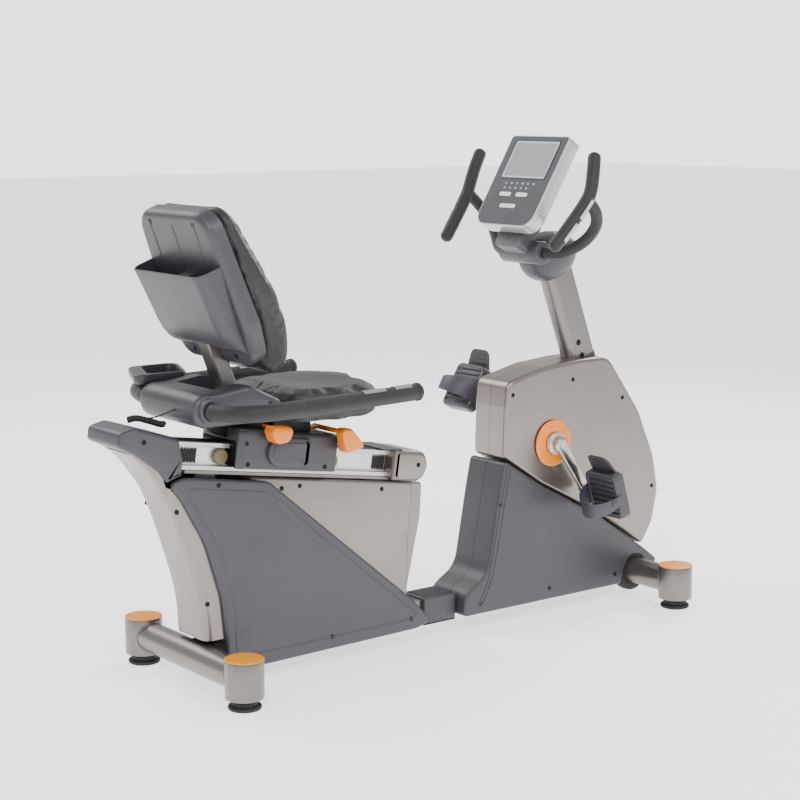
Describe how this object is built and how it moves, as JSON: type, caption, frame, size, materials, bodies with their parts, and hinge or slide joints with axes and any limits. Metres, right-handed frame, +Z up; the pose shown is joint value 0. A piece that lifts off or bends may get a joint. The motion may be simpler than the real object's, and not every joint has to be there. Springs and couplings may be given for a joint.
{
  "type": "recumbent exercise bike",
  "caption": "Recumbent exercise bike: sliding seat and reclining back on an inclined rail, enclosed crank drive with strapped pedals, mast console and grip bars.",
  "frame": {"origin": "middle of the bounding box at floor level, between the rear and front feet", "axes": "+X the way the rider faces, +Y to the rider's left, +Z up"},
  "size_m": [1.9046, 0.6252, 1.4111],
  "materials": {
    "painted_steel": "satin champagne-silver powder coat",
    "silver_plastic": "satin champagne-silver moulded plastic",
    "dark_plastic": "fine-textured blue-grey moulded plastic",
    "orange_plastic": "satin orange moulded plastic",
    "aluminium": "clear anodised extrusion",
    "chrome": "bright plated steel",
    "steel": "turned steel",
    "rubber": "matte black",
    "foam_tube": "steel tube in black foam sleeve",
    "vinyl": "black grained vinyl over foam",
    "screen": "grey-green LCD behind a clear window",
    "pale_plastic": "off-white moulded plastic"
  },
  "bodies": {
    "frame": {"main_frame": "painted_steel", "rear_stabilizer": "painted_steel", "front_stabilizer": "painted_steel", "stabilizer_cap_rear_left": "orange_plastic", "stabilizer_cap_rear_right": "orange_plastic", "stabilizer_cap_front_left": "orange_plastic", "stabilizer_cap_front_right": "orange_plastic", "seat_rail": "aluminium", "rear_spine_cover": "silver_plastic", "rear_side_cover_left": "dark_plastic", "rear_side_cover_right": "dark_plastic", "rear_top_cap": "dark_plastic", "mid_cover": "silver_plastic", "rail_end_cap": "silver_plastic", "foot_tread": "dark_plastic", "front_cover_left": "silver_plastic", "front_cover_right": "silver_plastic", "front_lower_cover_left": "dark_plastic", "front_lower_cover_right": "dark_plastic", "mast": "painted_steel", "head_cover": "dark_plastic", "console_housing": "silver_plastic", "console_face": "dark_plastic", "lcd_screen": "screen", "console_handlebar": "foam_tube", "drive_belt": "rubber", "sensor_cord": "rubber"},
    "levelling_foot_rear_left": {"levelling_foot_rear_left": "rubber"},
    "levelling_foot_rear_right": {"levelling_foot_rear_right": "rubber"},
    "levelling_foot_front_left": {"levelling_foot_front_left": "rubber"},
    "levelling_foot_front_right": {"levelling_foot_front_right": "rubber"},
    "transport_wheel_left": {"transport_wheel_left": "rubber"},
    "transport_wheel_right": {"transport_wheel_right": "rubber"},
    "crank": {"crank_axle": "chrome", "crank_arm_left": "chrome", "crank_arm_right": "chrome", "crank_disc_left": "orange_plastic", "crank_disc_right": "orange_plastic"},
    "pedal_left": {"pedal_left": "dark_plastic"},
    "pedal_right": {"pedal_right": "dark_plastic"},
    "rotor": {"generator_rotor": "steel"},
    "carriage": {"seat_carriage": "painted_steel", "carriage_cover": "dark_plastic", "seat_cushion": "vinyl", "seat_handlebar": "foam_tube", "yoke_cover": "dark_plastic", "cup_holder": "dark_plastic"},
    "rail_roller_rear_left": {"rail_roller_rear_left": "pale_plastic"},
    "rail_roller_rear_right": {"rail_roller_rear_right": "pale_plastic"},
    "rail_roller_front_left": {"rail_roller_front_left": "pale_plastic"},
    "rail_roller_front_right": {"rail_roller_front_right": "pale_plastic"},
    "seat_lever": {"seat_lever": "orange_plastic"},
    "lock_pin": {"lock_pin": "chrome"},
    "recline_lever": {"recline_lever": "orange_plastic"},
    "backrest": {"backrest_post": "painted_steel", "backrest_shell": "dark_plastic", "backrest_cushion": "vinyl"},
    "console_key_left": {"console_key_left": "pale_plastic"},
    "console_key_right": {"console_key_right": "pale_plastic"},
    "console_key_bottom": {"console_key_bottom": "pale_plastic"}
  },
  "joints": [
    {"name": "levelling_foot_rear_left_screw", "type": "slide", "parent": "frame", "child": "levelling_foot_rear_left", "axis": [0, 0, -1], "range_m": [0, 0.012]},
    {"name": "levelling_foot_rear_right_screw", "type": "slide", "parent": "frame", "child": "levelling_foot_rear_right", "axis": [0, 0, -1], "range_m": [0, 0.012]},
    {"name": "levelling_foot_front_left_screw", "type": "slide", "parent": "frame", "child": "levelling_foot_front_left", "axis": [0, 0, -1], "range_m": [0, 0.012]},
    {"name": "levelling_foot_front_right_screw", "type": "slide", "parent": "frame", "child": "levelling_foot_front_right", "axis": [0, 0, -1], "range_m": [0, 0.012]},
    {"name": "transport_wheel_left_spin", "type": "hinge", "parent": "frame", "child": "transport_wheel_left", "pos_m": [0.8485, 0, 0.08], "axis": [0, 1, 0], "continuous": true},
    {"name": "transport_wheel_right_spin", "type": "hinge", "parent": "frame", "child": "transport_wheel_right", "pos_m": [0.8485, 0, 0.08], "axis": [0, 1, 0], "continuous": true},
    {"name": "crank_spin", "type": "hinge", "parent": "frame", "child": "crank", "pos_m": [0.5025, 0, 0.518], "axis": [0, 1, 0], "continuous": true},
    {"name": "pedal_left_spin", "type": "hinge", "parent": "crank", "child": "pedal_left", "pos_m": [0.40621, 0.175, 0.6581], "axis": [0, 1, 0], "continuous": true},
    {"name": "pedal_right_spin", "type": "hinge", "parent": "crank", "child": "pedal_right", "pos_m": [0.59879, -0.175, 0.3779], "axis": [0, 1, 0], "continuous": true},
    {"name": "rotor_spin", "type": "hinge", "parent": "frame", "child": "rotor", "pos_m": [0.4535, 0, 0.235], "axis": [0, 1, 0], "continuous": true},
    {"name": "seat_slide", "type": "slide", "parent": "frame", "child": "carriage", "axis": [0.9888, 0, -0.1495], "range_m": [-0.1, 0.15], "deforming": ["sensor_cord"]},
    {"name": "rail_roller_rear_left_spin", "type": "hinge", "parent": "carriage", "child": "rail_roller_rear_left", "pos_m": [-0.58355, 0.04, 0.59887], "axis": [0, 1, 0], "range_deg": [-260, 390]},
    {"name": "rail_roller_rear_right_spin", "type": "hinge", "parent": "carriage", "child": "rail_roller_rear_right", "pos_m": [-0.58355, -0.04, 0.59887], "axis": [0, 1, 0], "range_deg": [-260, 390]},
    {"name": "rail_roller_front_left_spin", "type": "hinge", "parent": "carriage", "child": "rail_roller_front_left", "pos_m": [-0.33834, 0.04, 0.56178], "axis": [0, 1, 0], "range_deg": [-260, 390]},
    {"name": "rail_roller_front_right_spin", "type": "hinge", "parent": "carriage", "child": "rail_roller_front_right", "pos_m": [-0.33834, -0.04, 0.56178], "axis": [0, 1, 0], "range_deg": [-260, 390]},
    {"name": "seat_lever_swing", "type": "hinge", "parent": "carriage", "child": "seat_lever", "pos_m": [-0.29552, 0, 0.64431], "axis": [0, 1, 0], "range_deg": [0, 8], "stiffness_Nm_per_rad": 4, "springref_deg": -8.59},
    {"name": "lock_pin_lift", "type": "slide", "parent": "carriage", "child": "lock_pin", "axis": [0.1495, 0, 0.9888], "range_m": [0, 0.013]},
    {"name": "recline_lever_swing", "type": "hinge", "parent": "carriage", "child": "recline_lever", "pos_m": [-0.50712, 0, 0.67631], "axis": [0, 1, 0], "range_deg": [0, 10], "stiffness_Nm_per_rad": 2, "springref_deg": -11.46},
    {"name": "backrest_tilt", "type": "hinge", "parent": "carriage", "child": "backrest", "pos_m": [-0.5735, 0, 0.742], "axis": [0, 1, 0], "range_deg": [-12, 5]},
    {"name": "console_key_left_press", "type": "slide", "parent": "frame", "child": "console_key_left", "axis": [0.8536, 0, -0.521], "range_m": [0, 0.0015], "stiffness_N_per_m": 400, "springref_m": -0.0005},
    {"name": "console_key_right_press", "type": "slide", "parent": "frame", "child": "console_key_right", "axis": [0.8536, 0, -0.521], "range_m": [0, 0.0015], "stiffness_N_per_m": 400, "springref_m": -0.0005},
    {"name": "console_key_bottom_press", "type": "slide", "parent": "frame", "child": "console_key_bottom", "axis": [0.8536, 0, -0.521], "range_m": [0, 0.0015], "stiffness_N_per_m": 400, "springref_m": -0.0005}
  ],
  "couplings": [
    {"joint": "rotor_spin", "follows": "crank_spin", "ratio": 5},
    {"joint": "lock_pin_lift", "follows": "seat_lever_swing", "m_per_rad": 0.09},
    {"joint": "rail_roller_rear_left_spin", "follows": "seat_slide", "rad_per_m": 44.444},
    {"joint": "rail_roller_rear_right_spin", "follows": "seat_slide", "rad_per_m": 44.444},
    {"joint": "rail_roller_front_left_spin", "follows": "seat_slide", "rad_per_m": 44.444},
    {"joint": "rail_roller_front_right_spin", "follows": "seat_slide", "rad_per_m": 44.444}
  ]
}
